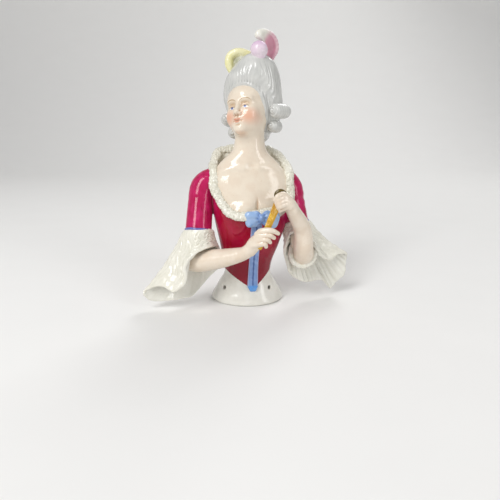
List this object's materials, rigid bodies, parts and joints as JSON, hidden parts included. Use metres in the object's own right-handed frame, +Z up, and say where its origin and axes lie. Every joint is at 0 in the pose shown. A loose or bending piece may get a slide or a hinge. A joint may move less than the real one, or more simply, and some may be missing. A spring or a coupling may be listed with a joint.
{
  "type": "half doll",
  "caption": "Glazed porcelain half doll of a lady in court dress with lace frills, plumed hair and a closed fan, on a hollow flared waist with sewing holes.",
  "frame": {"origin": "middle of the figure's footprint, on the plane of the base rim", "axes": "+Z up along the figure, -Y the way its chest faces, +X towards the arm that holds the fan's upper end"},
  "size_m": [0.0992, 0.0455, 0.1246],
  "materials": {
    "porcelain": "glossy clear glaze over hand-painted colours"
  },
  "bodies": {
    "root": {"half_doll": "porcelain"}
  },
  "joints": []
}
